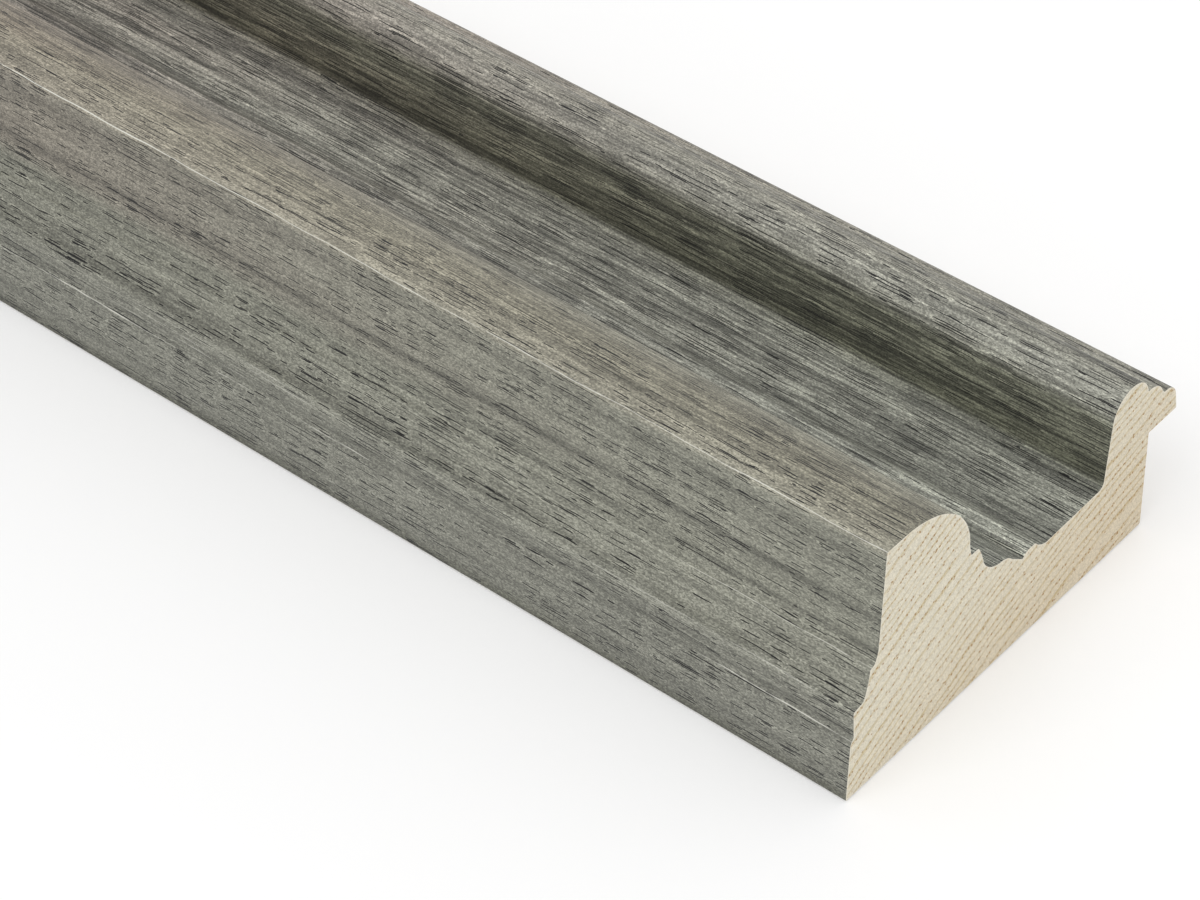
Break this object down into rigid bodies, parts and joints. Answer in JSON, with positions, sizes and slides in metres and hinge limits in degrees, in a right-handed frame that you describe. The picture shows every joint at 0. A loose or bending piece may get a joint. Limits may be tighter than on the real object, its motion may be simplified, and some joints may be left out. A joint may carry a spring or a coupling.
{
  "type": "picture frame moulding",
  "caption": "Length of deep scoop picture frame moulding with a rolled crest, beaded sight edge, stepped outer side and rebate, in grey-stained open-pored wood.",
  "frame": {"origin": "middle of the part's box, on the plane of the flat back", "axes": "+X along the length, +Y from the outer side towards the sight edge, +Z from the back up to the crest"},
  "size_m": [1.22, 0.07, 0.038],
  "materials": {
    "stained_wood": "satin"
  },
  "bodies": {
    "root": {"moulding": "stained_wood"}
  },
  "joints": []
}
